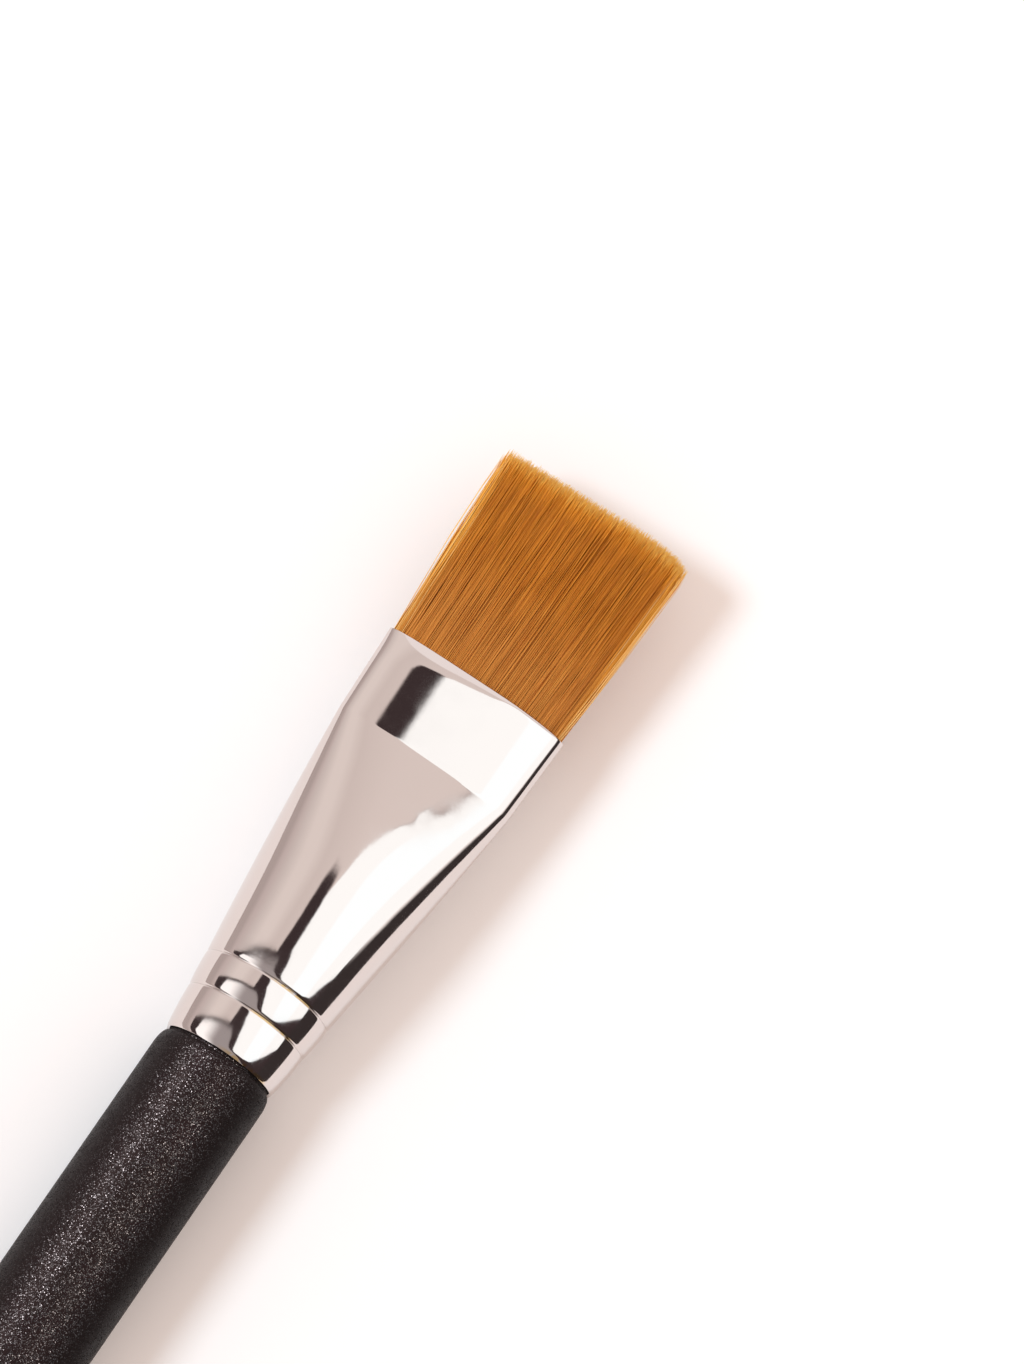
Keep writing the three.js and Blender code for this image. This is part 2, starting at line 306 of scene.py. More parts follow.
def buildWorld():
    cardGroup = buildCardGroup()
    world = bpy.data.worlds.new("studioRoom")
    bpy.context.scene.world = world
    world.use_nodes = True
    tree = world.node_tree
    tree.nodes.clear()
    path = addNode(tree, "ShaderNodeLightPath")
    direction = addNode(tree, "ShaderNodeTexCoord").outputs["Generated"]
    parts = addNode(tree, "ShaderNodeSeparateXYZ", feeds={0: direction})
    sideways = mathOut(tree, "MULTIPLY", parts.outputs["Y"], -1.0)
    lateral = mathOut(tree, "DEGREES", mathOut(tree, "ARCTAN2", sideways, parts.outputs["Z"]))
    forward = mathOut(tree, "DEGREES", mathOut(tree, "ARCSINE", parts.outputs["X"]))
    turned = mathOut(tree, "MULTIPLY_ADD", lateral, 1 / 360, 0.5)
    wall = addNode(tree, "ShaderNodeValToRGB", feeds={"Fac": turned})
    stops = wall.color_ramp.elements  # two to begin with
    for number, (side, tone) in enumerate(wallShade.items()):
        stop = stops[number] if number < 2 else stops.new(1.0)
        stop.position = side / 360 + 0.5
        stop.color = tone
    color = wall.outputs["Color"]
    for card in studioCards.values():
        feeds = {"Lateral": lateral, "Forward": forward, "Round": card["round"]}
        feeds["Soft"] = card.get("soft", cardSoft)
        feeds.update(zip(("Left", "Right", "Near", "Far"), card["span"]))
        feeds.update(zip(("Left Lean", "Right Lean", "Far Lean"), card.get("lean", (0, 0, 0))))
        mask = addNode(tree, "ShaderNodeGroup", {"node_tree": cardGroup}, feeds).outputs["Mask"]
        paint = card["color"]
        if "fade" in card:
            paint = mixOut(tree, rangeOut(tree, lateral, *lampFade), paint, card["fade"])
        color = mixOut(tree, mask, color, paint)
    color = mixOut(tree, path.outputs["Is Glossy Ray"], studio["fill"], color)
    color = mixOut(tree, path.outputs["Is Camera Ray"], color, studio["backdrop"])
    room = addNode(tree, "ShaderNodeBackground", feeds={"Color": color})
    addNode(tree, "ShaderNodeOutputWorld", feeds={"Surface": room.outputs[0]})


# low strips beside the brush that give the polished metal its dark edges
stripAlong = (-100.0, 42.0, 76.0, 160.0)  # x of the corners in mm
sideStrips = {  # fade: from which share of the height; from: along x in mm, where the fade sets in
    "right": {
        "away": -42.0, "bottom": (0.0, 0.0, 6.8, 6.8), "top": (21.5, 21.5, 18.0, 18.0),
        "fade": 0.78, "from": (44, 56), "foot": (0.05, 0.04, 0.04, 1), "edge": (1.3, 1.25, 1.22, 1),
    },
    "left": {
        "away": 42.0, "bottom": (0.0, 0.0, 0.0, 0.0), "top": (16.0, 16.0, 16.0, 16.0),
        "fade": 0.5, "from": (-99, -98), "foot": (0.58, 0.50, 0.48, 1), "edge": (0.74, 0.64, 0.62, 1),
    },
}


def buildStrips():
    last = len(stripAlong) - 1
    for side, strip in sideStrips.items():
        clearSelection()
        bpy.ops.mesh.primitive_grid_add(x_subdivisions=last, y_subdivisions=1, size=1)
        card = bpy.context.object
        card.name = side + "Strip"
        for corner in card.data.vertices:
            column = round((corner.co.x + 0.5) * last)
            height = strip["top" if corner.co.y > 0 else "bottom"][column]
            corner.co = (stripAlong[column] * mm, strip["away"] * mm, height * mm)
        material, tree = bareMaterial(side + " strip")
        place = addNode(tree, "ShaderNodeTexCoord")
        share = addNode(tree, "ShaderNodeSeparateXYZ", feeds={0: place.outputs["UV"]}).outputs["Y"]
        along = addNode(tree, "ShaderNodeSeparateXYZ", feeds={0: place.outputs["Object"]}).outputs["X"]
        begins = rangeOut(tree, along, *(x * mm for x in strip["from"]))
        fade = mathOut(tree, "MULTIPLY", rangeOut(tree, share, strip["fade"], 1.0), begins)
        color = mixOut(tree, fade, strip["foot"], strip["edge"])
        glow = addNode(tree, "ShaderNodeEmission", feeds={"Color": color})
        addNode(tree, "ShaderNodeOutputMaterial", feeds={"Surface": glow.outputs[0]})
        card.data.materials.append(material)
        card.visible_camera = False
        card.visible_diffuse = False
        card.visible_shadow = False
        card.visible_transmission = False


buildFloor()
buildKey()
buildWorld()
buildStrips()
print("studio built")

# plated ferrule: round cone with two rolled crimps, pressed flat towards the mouth
ferruleForm = {
    "length": 43.5,
    "wall": 0.3,
    "baseRadius": 5.85,
    "ringRadius": 6.75,
    "bandCrown": 0.08,
    "lowerCrimp": 4.6,
    "upperCrimp": 8.1,
    "crimpWidth": 0.36,
    "crimpDepth": 0.1,
    "flareBow": 0.13,
    "pressStart": 10.0,  # up to here the tube is round
    "pressSlope": 0.32,  # fall of the pressed face where it meets the land
    "flatStart": 20.2,  # where the pressed face starts to go flat
    "flatPower": 1.6,
    "landStart": 34.4,
    "landWide": 9.55,
    "mouthWide": 9.85,
    "landThick": 2.85,
    "landFlat": 1.8,  # half width of its flat on the left
    "rightFlat": (3.4, 1.6),  # and on the right, at its start and at the mouth
    "landSquare": 2.4,  # how square the left side is on the land, 2 being an ellipse
    "lipReach": 4.4,  # the mouth is pinched in over a longer way on its left
    "lipShift": 0.2,
    "lipLimits": (0.35, 3.7),
    "lipSlope": 0.6,
    "baseRoll": 0.5,
    "baseTuck": 0.1,  # how far the base edge is rolled in
    "pointsAround": 96,
    "landEase": 0.4,  # rings lie closer this far before and after the start of the land
    "rimRound": 0.05,
    "rimSteps": 2,
    "rimAngle": 60.0,
    "smoothAngle": 40.0,
    "rippleSize": 6.0,
    "rippleDepth": 0.022,  # unevenness of the pressed tube
    "rippleOnLand": 0.25,  # share of it left where the press was closed
    "rippleLead": 1.5,  # how far before the land it starts to fade
    "dents": ((28.9, -1.75, 0.8, 0.05),),  # small press marks on top: u, y, radius, depth
}


def flareWidth(u):
    form = ferruleForm
    part = (u - form["upperCrimp"]) / (form["landStart"] - form["upperCrimp"])
    return lerp(form["ringRadius"], form["landWide"], part) + bulge(form["flareBow"], part)


def pressedThickness(u):
    form = ferruleForm
    start, land = form["pressStart"], form["landStart"]
    if u <= start:
        return flareWidth(u)
    third = (land - start) / 3
    x = (u - start) / (land - start)
    leave, arrive = flareWidth(start + third), form["landThick"] + form["pressSlope"] * third
    ends = flareWidth(start) * (1 - x) ** 3 + form["landThick"] * x ** 3
    return ends + 3 * leave * x * (1 - x) ** 2 + 3 * arrive * x ** 2 * (1 - x)


def pressedFlat(u):
    form = ferruleForm
    part = max(0.0, (u - form["flatStart"]) / (form["landStart"] - form["flatStart"]))
    return form["landFlat"] * part ** form["flatPower"]


def ferruleSection(u):
    form = ferruleForm
    lower, upper, land = form["lowerCrimp"], form["upperCrimp"], form["landStart"]
    if u <= upper:
        start, end = (0, lower) if u <= lower else (lower, upper)
        part = (u - start) / (end - start)
        radius = lerp(form["baseRadius"], form["ringRadius"], u / upper) + bulge(form["bandCrown"], part)
        radius -= form["baseTuck"] * max(0.0, 1 - u / form["baseRoll"]) ** 2
        wide, thick, flat = radius, radius, 0.0
    elif u <= land:
        wide, thick, flat = flareWidth(u), pressedThickness(u), pressedFlat(u)
    else:
        part = (u - land) / (form["length"] - land)
        wide = lerp(form["landWide"], form["mouthWide"], part)
        thick, flat = form["landThick"], form["landFlat"]
    for crimp in (lower, upper):
        away = abs(u - crimp) / (form["crimpWidth"] / 2)
        if away < 1:
            groove = form["crimpDepth"] * (1 + math.cos(math.pi * away)) / 2
            wide, thick = wide - groove, thick - groove
    return wide, thick, flat


def ferruleStations():
    form = ferruleForm
    half = form["crimpWidth"] / 2
    ease = form["landEase"]
    lower, upper, land = form["lowerCrimp"], form["upperCrimp"], form["landStart"]
    lip = form["length"] - form["lipLimits"][1]
    stretches = (  # start, end, rings
        (0, form["baseRoll"], 5),
        (form["baseRoll"], lower - half, 9),
        (lower - half, lower + half, 7),
        (lower + half, upper - half, 9),
        (upper - half, upper + half, 7),
        (upper + half, land - ease, 36),
        (land - ease, land + ease, 5),
        (land + ease, lip, 5),
        (lip, form["length"], 19),
    )
    stops = [np.linspace(*stretch) for stretch in stretches]
    return np.unique(np.round(np.concatenate(stops), 5))


def lipSqueeze(u, y):
    form = ferruleForm
    leftShare = (y / form["mouthWide"] + 1) / 2
    reach = np.clip(form["lipReach"] * (leftShare - form["lipShift"]), *form["lipLimits"])
    way = np.clip((u - form["length"] + reach) / reach, 0, 1)
    return 1 - form["lipSlope"] / 2 * reach * way ** 2 / form["landThick"]


def landSquaring(u, y):
    form = ferruleForm
    if y < 0:
        return 1.0
    wide, thick, flat = ferruleSection(u)
    pressed = np.clip((u - form["flatStart"]) / (form["landStart"] - form["flatStart"]), 0, 1)
    power = lerp(2.0, form["landSquare"], pressed)
    aside = np.clip((abs(y) - flat) / (wide - flat), 0, 0.9999)  # just short of the edge
    return (1 - aside ** power) ** (1 / power) / math.sqrt(1 - aside ** 2)


def pressMarks(u, y):
    deep = 0.0
    for dentU, dentY, radius, depth in ferruleForm["dents"]:
        deep += depth * math.exp(-((u - dentU) ** 2 + (y - dentY) ** 2) / radius ** 2)
    return deep


def pressLand(piece):
    shape = bmesh.from_edit_mesh(piece.data)
    for point in shape.verts:
        u, y = (point.co.x - baseX) / mm, point.co.y / mm
        if u > ferruleForm["flatStart"]:
            point.co.z = axisZ + (point.co.z - axisZ) * landSquaring(u, y) * lipSqueeze(u, y)
            if point.co.z > axisZ:
                point.co.z -= pressMarks(u, y) * mm
    bmesh.update_edit_mesh(piece.data)


def pickRing(piece, number, side=0):
    shape = bmesh.from_edit_mesh(piece.data)
    shape.verts.index_update()
    for point in shape.verts:
        inRing = point.index // ferruleForm["pointsAround"] == number
        point.select_set(inRing and (side == 0 or point.co.y * side > tiny))
    shape.select_flush_mode()
    bmesh.update_edit_mesh(piece.data)


def buildFerrule():
    form = ferruleForm
    stations = ferruleStations()
    clearSelection()
    bpy.ops.mesh.primitive_circle_add(
        vertices=form["pointsAround"], radius=mm, location=(baseX, 0, axisZ), rotation=(0, math.pi / 2, 0)
    )
    ferrule = bpy.context.object
    ferrule.name = "plated_ferrule"
    bpy.ops.object.transform_apply(location=True, rotation=True, scale=True)
    bpy.ops.object.mode_set(mode="EDIT")
    bpy.ops.mesh.select_mode(type="VERT")
    bpy.ops.mesh.select_all(action="SELECT")
    for step in np.diff(stations):
        bpy.ops.mesh.extrude_region_move(TRANSFORM_OT_translate={"value": (float(step) * mm, 0, 0)})
    for number, u in enumerate(stations):
        wide, thick, flat = ferruleSection(u)
        middle = (baseX + float(u) * mm, 0, axisZ)
        pickRing(ferrule, number)
        bpy.ops.transform.resize(value=(1, wide - flat, thick), center_override=middle)
        pickRing(ferrule, number, 1)
        bpy.ops.transform.translate(value=(0, flat * mm, 0))
        onLand = np.clip((u - form["landStart"]) / (form["length"] - form["landStart"]), 0, 1)
        rightFlat = flat * float(lerp(*form["rightFlat"], onLand)) / form["landFlat"]
        pickRing(ferrule, number, -1)
        bpy.ops.transform.resize(value=(1, (wide - rightFlat) / (wide - flat), 1), center_override=middle)
        bpy.ops.transform.translate(value=(0, -rightFlat * mm, 0))
    pressLand(ferrule)
    bpy.ops.mesh.select_all(action="SELECT")
    bpy.ops.mesh.normals_make_consistent(inside=False)
    bpy.ops.object.mode_set(mode="OBJECT")
    applyModifier(ferrule, "SUBSURF", levels=1, render_levels=1)
    ripple = bpy.data.textures.new("pressedRipple", "CLOUDS")
    ripple.noise_scale = form["rippleSize"] * mm
    uneven = ferrule.vertex_groups.new(name="uneven")
    for point in ferrule.data.vertices:
        onLand = np.clip((point.co.x - baseX) / mm - form["landStart"] + form["rippleLead"], 0, 1)
        uneven.add([point.index], lerp(1.0, form["rippleOnLand"], float(onLand)), "REPLACE")
    applyModifier(
        ferrule, "DISPLACE", texture=ripple, texture_coords="LOCAL", strength=form["rippleDepth"] * mm,
        mid_level=0.5, vertex_group="uneven"
    )
    applyModifier(ferrule, "SOLIDIFY", thickness=form["wall"] * mm, offset=-1)
    rim = {"width": form["rimRound"] * mm, "segments": form["rimSteps"]}
    applyModifier(ferrule, "BEVEL", angle_limit=math.radians(form["rimAngle"]), **rim)
    smoothShade(ferrule, form["smoothAngle"])
    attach(ferrule, "root")
    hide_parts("ferrule")
    return ferrule


ferrulePiece = buildFerrule()
print("ferrule built", len(ferrulePiece.data.polygons), "faces")

# turned handle: rounded tail, long taper, straight belly, rounded shoulder, straight tenon
handleForm = {
    "length": 120.0,
    "radius": 6.05,
    "tailRadius": 3.3,
    "bellyLength": 40.0,
    "shoulderLength": 1.6,
    "shoulderDrop": 0.45,
    "shoulderGap": 0.3,
    "tenonRadius": 5.45,
    "tenonEnd": 10.6,
    "tenonChamfer": 0.8,
    "turnSteps": 96,
    "tailPoints": 12,
    "taperPoints": 40,
    "bellyPoints": 10,
    "shoulderPoints": 10,
    "smoothAngle": 40.0,
}


def handleProfile():
    form = handleForm
    front = -form["shoulderGap"]
    back = front - form["length"]
    belly = front - form["bellyLength"]
    taperStart = back + form["tailRadius"]
    points = []
    for turn in np.linspace(0, math.pi / 2, form["tailPoints"]):
        points.append((taperStart - form["tailRadius"] * math.cos(turn), form["tailRadius"] * math.sin(turn)))
    for part in np.linspace(0, 1, form["taperPoints"])[1:]:
        ease = (1 - math.cos(math.pi * part)) / 2
        points.append((lerp(taperStart, belly, part), lerp(form["tailRadius"], form["radius"], ease)))
    for u in np.linspace(belly, front - form["shoulderLength"], form["bellyPoints"])[1:]:
        points.append((u, form["radius"]))
    for turn in np.linspace(0, math.pi / 2, form["shoulderPoints"])[1:]:
        drop = form["shoulderDrop"] * (1 - math.cos(turn))
        points.append((front - form["shoulderLength"] * (1 - math.sin(turn)), form["radius"] - drop))
    points.append((front, form["tenonRadius"]))
    points.append((form["tenonEnd"] - form["tenonChamfer"], form["tenonRadius"]))
    points.append((form["tenonEnd"], form["tenonRadius"] - form["tenonChamfer"]))
    points.append((form["tenonEnd"], 0.0))
    return points


def buildHandle():
    profile = handleProfile()
    clearSelection()
    first = (baseX + profile[0][0] * mm, 0, axisZ + profile[0][1] * mm)
    bpy.ops.mesh.primitive_plane_add(size=mm)
    handle = bpy.context.object
    handle.name = "lacquered_handle"
    bpy.ops.object.mode_set(mode="EDIT")
    bpy.ops.mesh.select_mode(type="VERT")
    bpy.ops.mesh.select_all(action="SELECT")
    bpy.ops.mesh.merge(type="CENTER")
    bpy.ops.transform.translate(value=first)
    for (u, r), (nextU, nextR) in zip(profile, profile[1:]):
        step = ((nextU - u) * mm, 0, (nextR - r) * mm)
        bpy.ops.mesh.extrude_vertices_move(TRANSFORM_OT_translate={"value": step})
    bpy.ops.mesh.select_all(action="SELECT")
    steps = handleForm["turnSteps"]
    bpy.ops.mesh.spin(steps=steps, angle=2 * math.pi, center=(0, 0, axisZ), axis=(1, 0, 0))
    bpy.ops.mesh.select_all(action="SELECT")
    bpy.ops.mesh.remove_doubles(threshold=tiny)
    bpy.ops.mesh.normals_make_consistent(inside=False)
    bpy.ops.object.mode_set(mode="OBJECT")
    smoothShade(handle, handleForm["smoothAngle"])
    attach(handle, "root")
    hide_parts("handle")
    return handle


handlePiece = buildHandle()
print("handle built", len(handlePiece.data.polygons), "faces")

# filaments: thousands of tapered strands in four layers, each layer set in its slice of resin
tuftForm = {
    "seed": 40,
    "rootBack": 27.5,
    "rootFront": 36.5,
    "rootSink": 0.3,  # how deep in the resin the strands start
    "mouth": ferruleForm["length"],
    "tip": 64.52,
    "rootSection": (9.15, 2.30, 3.0),  # half width, half thickness, half flat
    "mouthSection": (9.45, 2.03, 3.0),
    "tipSection": (10.2, 1.9, 3.25),
    "tipShift": -0.1,
    "rowsPerLayer": 11,
    "rowsFill": 0.985,  # share of the thickness that the rows take up
    "rowShift": 0.45,  # every other row lies in the gaps of the row below it
    "pitch": 0.082,
    "radius": 0.048,
    "gauge": (0.8, 0.4),  # least share of the radius, and the most on top of it
    "neck": 0.82,  # share of the radius at the last stop before the tip
    "tipRadius": 0.010,
    "jitter": 0.03,
    "tipDrift": 0.11,
    "driftLift": 0.5,  # share of the drift that goes up or down
    "wander": 0.05,  # strands weave over and under each other
    "settleRate": 4.0,  # how soon past the mouth they do
    "ragged": (0.5, 0.32, 1.5),  # middle, spread and most of what a strand is short
    "cut": (  # across to height of the cut, lower on the left
        (-1.0, -0.15), (-0.94, 0.2), (-0.8, 0.4), (-0.62, 0.42),
        (0.0, 0.05), (0.6, -0.08), (0.95, -0.2), (1.0, 0.0),
    ),
    "mouthClear": 0.06,
    "freeWay": 6.0,  # past the mouth, until the pinch of the lip has let go
    "strays": 4,  # loose hairs at each side of the two middle layers
    "strayHeight": 0.5,
    "strayReach": (0.05, 0.4),
    "strayGauge": 0.7,
    "strayShort": 1.5,  # a loose hair is shorter by this many times its reach
    "strayBow": 0.8,  # share of a half wave between mouth and tip
    "strayGlowMark": 1.3,  # edge value that gives a loose hair its pale colour, a painted glow of light through the thin hair
    "slabPoints": 64,
    "slabRings": 6,
    "slabInset": 0.12,
    "slabGap": 0.04,
}
strandSides = 4  # so that the ends are quads too
strandStops = (0.0, 0.24, 0.45, 0.66, 0.86, 0.965, 1.0)  # share of the way from root to tip
mouthStop = strandStops[1]  # up to here a strand is held
strandCell = {"margin": 0.1, "ends": (0.1, 0.3, 0.3, 0.1)}  # each strand's cell on the map
layerNames = ("filaments_bottom", "filaments_lower_core", "filaments_upper_core", "filaments_top")


def tuftSection(u):
    root, mouth, tip = tuftForm["rootSection"], tuftForm["mouthSection"], tuftForm["tipSection"]
    if u <= tuftForm["mouth"]:
        part = np.clip((u - tuftForm["rootFront"]) / (tuftForm["mouth"] - tuftForm["rootFront"]), 0, 1)
        return [lerp(a, b, part) for a, b in zip(root, mouth)]
    part = (u - tuftForm["mouth"]) / (tuftForm["tip"] - tuftForm["mouth"])
    return [lerp(a, b, part) for a, b in zip(mouth, tip)]


def mouthSqueeze(u, y, thick):
    form = tuftForm
    inside = np.minimum(u, form["mouth"])
    room = ferruleForm["landThick"] * lipSqueeze(inside, y) - ferruleForm["wall"] - form["mouthClear"]
    squeezed = np.minimum(1, room / thick)
    return lerp(squeezed, 1, np.clip((u - form["mouth"]) / form["freeWay"], 0, 1))


def buildOneStrand():
    clearSelection()
    bpy.ops.mesh.primitive_circle_add(
        vertices=strandSides, radius=1, fill_type="NGON", rotation=(0, math.pi / 2, 0)
    )
    strand = bpy.context.object
    bpy.ops.object.transform_apply(location=True, rotation=True, scale=True)
    bpy.ops.object.mode_set(mode="EDIT")
    bpy.ops.mesh.select_all(action="SELECT")
    for _ in strandStops[1:]:
        bpy.ops.mesh.extrude_region_move(TRANSFORM_OT_translate={"value": (1, 0, 0)})
    bpy.ops.mesh.select_all(action="SELECT")
    bpy.ops.mesh.normals_make_consistent(inside=False)
    bpy.ops.object.mode_set(mode="OBJECT")
    points = np.array([v.co[:] for v in strand.data.vertices])
    faces = np.array([list(p.vertices) for p in strand.data.polygons])
    bpy.data.objects.remove(strand)
    return points, faces


def rowReach(wide, flat, height):  # half width of a row, height being a share of the half thickness
    return flat + (wide - flat) * np.sqrt(1 - height ** 2)


def layerStrands(layer):
    form = tuftForm
    rows = form["rowsPerLayer"]
    allRows = rows * len(layerNames)
    wide, _, flat = form["mouthSection"]
    across, height = [], []
    for row in range(layer * rows, (layer + 1) * rows):
        level = ((row + 0.5) / allRows * 2 - 1) * form["rowsFill"]
        count = int(2 * rowReach(wide, flat, level) / form["pitch"])
        shift = form["rowShift"] * (row % 2)
        place = (np.arange(count) + 0.5 + shift) / (count + 0.5) * 2 - 1
        across.append(np.clip(place, -1, 1))
        height.append(np.full(count, level))
    return np.concatenate(across), np.concatenate(height)


def strandCentres(across, height, loose, rng):
    form = tuftForm
    count = len(across)
    stops = np.array(strandStops)
    start = form["rootFront"] - form["rootSink"]
    middle, spreading, most = form["ragged"]
    trim = np.clip(rng.normal(middle, spreading, count), 0, most)
    tip = form["tip"] - trim + np.interp(across, *zip(*form["cut"])) - loose * form["strayShort"]
    alongU = start + (tip - start)[:, None] * stops[None, :]
    drift = rng.normal(0, form["tipDrift"], (count, 2))
    jitter = rng.normal(0, form["jitter"], (count, 2))
    weave = rng.normal(0, form["wander"], (count, len(stops), 2))
    centres = np.zeros((count, len(stops), 3))
    for stop, share in enumerate(stops):
        free = np.clip((share - mouthStop) / (1 - mouthStop), 0, 1)
        settled = min(1.0, free * form["settleRate"])
        u = alongU[:, stop]
        wide, thick, flat = np.array([tuftSection(value) for value in u]).T
        reach = rowReach(wide, flat, height)
        bow = np.sign(across) * loose * math.sin(free * math.pi * form["strayBow"])
        spread = bow + form["tipShift"] * free
        sway = (drift[:, 0] * free + weave[:, stop, 0]) * settled
        rise = (drift[:, 1] * form["driftLift"] * free + weave[:, stop, 1]) * settled
        level = height * thick * mouthSqueeze(u, across * reach, thick)
        centres[:, stop, 0] = baseX / mm + u
        centres[:, stop, 1] = across * reach + jitter[:, 0] + sway + spread
        centres[:, stop, 2] = axisZ / mm + level + jitter[:, 1] + rise
    return centres


def buildRootSlab(layer):
    form = tuftForm
    clearSelection()
    back, front = form["rootBack"], form["rootFront"]
    bpy.ops.mesh.primitive_circle_add(
        vertices=form["slabPoints"], radius=mm, fill_type="NGON", location=(baseX + back * mm, 0, axisZ),
        rotation=(0, math.pi / 2, 0)
    )
    slab = bpy.context.object
    bpy.ops.object.transform_apply(location=True, rotation=True, scale=True)
    bpy.ops.object.mode_set(mode="EDIT")
    bpy.ops.mesh.select_mode(type="VERT")
    bpy.ops.mesh.select_all(action="SELECT")
    stations = np.linspace(back, front, form["slabRings"])
    inset = ferruleForm["wall"] + form["slabInset"]
    for step in np.diff(stations):
        bpy.ops.mesh.extrude_region_move(TRANSFORM_OT_translate={"value": (float(step) * mm, 0, 0)})
    for u in stations:
        wide, thick, flat = ferruleSection(u)
        here = baseX + float(u) * mm
        pickPoints(slab, lambda co: abs(co.x - here) < tiny)
        size = (1, wide - inset - flat, thick - inset)
        bpy.ops.transform.resize(value=size, center_override=(here, 0, axisZ))
        for side in (1, -1):
            pickPoints(slab, lambda co: abs(co.x - here) < tiny and co.y * side > tiny)
            bpy.ops.transform.translate(value=(0, side * flat * mm, 0))
    edges = np.linspace(-1, 1, len(layerNames) + 1) * form["rootSection"][1]
    for number, clearUp in ((layer, False), (layer + 1, True)):
        if number in (0, len(layerNames)):
            continue
        bpy.ops.mesh.select_all(action="SELECT")
        gap = form["slabGap"] / 2 * (-1 if clearUp else 1)
        cutZ = axisZ + (float(edges[number]) + gap) * mm
        bpy.ops.mesh.bisect(
            plane_co=(0, 0, cutZ), plane_no=(0, 0, 1), use_fill=True,
            clear_outer=clearUp, clear_inner=not clearUp
        )
    bpy.ops.mesh.select_all(action="SELECT")
    bpy.ops.mesh.normals_make_consistent(inside=False)
    bpy.ops.object.mode_set(mode="OBJECT")
    return slab


def strandMap(points, faces, count):
    oneSide = 2 * math.pi / strandSides
    turn = np.round(np.arctan2(points[:, 2], points[:, 1]) / oneSide).astype(int) % strandSides
    ring = np.round(points[:, 0]).astype(int)
    corner = np.zeros(faces.shape + (2,))
    for number, face in enumerate(faces):
        corner[number, :, 1] = np.array(strandStops)[ring[face]]
        if len(set(ring[face])) == 1:  # the two ends
            corner[number, :, 0] = strandCell["ends"]
            continue
        sides = turn[face]
        closing = (sides == 0) & (sides.max() == strandSides - 1)
        corner[number, :, 0] = np.where(closing, strandSides, sides) / strandSides
    columns = int(math.ceil(math.sqrt(count)))
    cell = np.arange(count)
    place = np.stack([cell % columns, cell // columns], 1)
    margin = strandCell["margin"]
    return (place[:, None, None, :] + margin + (1 - 2 * margin) * corner[None]) / columns


def buildLayer(layer, strandPoints, strandFaces):
    form = tuftForm
    rng = np.random.default_rng(form["seed"] + layer)
    across, height = layerStrands(layer)
    loose = np.zeros(len(across))
    if layer in (1, 2):  # the two middle layers
        strays = np.repeat((-1.0, 1.0), form["strays"])
        level = form["strayHeight"]
        across = np.concatenate([across, strays])
        height = np.concatenate([height, rng.uniform(-level, level, len(strays))])
        loose = np.concatenate([loose, rng.uniform(*form["strayReach"], len(strays))])
    centres = strandCentres(across, height, loose, rng)
    count = len(across)
    ring = np.round(strandPoints[:, 0]).astype(int)
    taper = np.ones(len(strandStops))
    taper[-2:] = form["neck"], form["tipRadius"] / form["radius"]
    spin = rng.random(count) * math.pi / 2
    cosSpin, sinSpin = np.cos(spin)[:, None], np.sin(spin)[:, None]
    pointY, pointZ = strandPoints[None, :, 1], strandPoints[None, :, 2]
    least, more = form["gauge"]
    thinned = np.where(loose > 0, form["strayGauge"], 1.0)
    gauge = form["radius"] * (least + more * rng.random(count)) * thinned
    size = gauge[:, None] * taper[ring][None, :]
    points = centres[:, ring, :]
    points[:, :, 1] += (pointY * cosSpin - pointZ * sinSpin) * size
    points[:, :, 2] += (pointY * sinSpin + pointZ * cosSpin) * size
    faces = strandFaces[None, :, :] + (np.arange(count) * len(strandPoints))[:, None, None]
    mesh = bpy.data.meshes.new(layerNames[layer])
    mesh.from_pydata((points.reshape(-1, 3) * mm).tolist(), [], faces.reshape(-1, 4).tolist())
    wide, _, flat = form["mouthSection"]
    # how far out each strand lies, with loose hairs marked past the edge: this places the painted glow of
    # light through thin strands at the tuft's sides and on loose hairs
    outward = np.abs(across) * rowReach(wide, flat, height) / wide
    pale = np.maximum(outward, np.where(loose > 0, form["strayGlowMark"], 0.0))
    shades = {
        "strandTone": np.repeat(rng.random(count), len(strandPoints)),
        "strandAlong": np.tile(np.array(strandStops)[ring], count),
        "strandGlowEdge": np.repeat(pale, len(strandPoints)),
    }
    for name, values in shades.items():
        mesh.attributes.new(name, "FLOAT", "POINT").data.foreach_set("value", values.astype(np.float32))
    cells = strandMap(strandPoints, strandFaces, count)
    mesh.uv_layers.new(name="OFBake").data.foreach_set("uv", cells.reshape(-1).astype(np.float32))
    mesh.polygons.foreach_set("use_smooth", np.ones(len(mesh.polygons), dtype=bool))
    piece = bpy.data.objects.new("tuft_" + layerNames[layer].split("_", 1)[1], mesh)
    bpy.context.scene.collection.objects.link(piece)
    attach(piece, "root")
    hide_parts(layerNames[layer])
    return piece


strandPoints, strandFaces = buildOneStrand()
tuftPieces = [buildLayer(layer, strandPoints, strandFaces) for layer in range(len(layerNames))]
print("tuft built", [len(piece.data.polygons) for piece in tuftPieces], "faces")


# shared wear: cloudy roughness from handling
wearSet = {"detail": 5.0, "roughness": 0.6, "range": (0.35, 0.7)}


def buildWearGroup():
    sockets = {name: "NodeSocketFloat" for name in ("Scale", "Smooth", "Worn")}
    results = {name: "NodeSocketFloat" for name in ("Roughness", "Cloud")}
    group, entry, leave = newGroup("handlingWear", {"Vector": "NodeSocketVector", **sockets}, results)
    given = entry.outputs
    feeds = {"Vector": given["Vector"], "Scale": given["Scale"]}
    feeds.update({"Detail": wearSet["detail"], "Roughness": wearSet["roughness"]})
    cloud = addNode(group, "ShaderNodeTexNoise", feeds=feeds).outputs["Fac"]
    rough = rangeOut(group, cloud, *wearSet["range"], given["Smooth"], given["Worn"])
    group.links.new(rough, leave.inputs["Roughness"])
    group.links.new(cloud, leave.inputs["Cloud"])
    return group


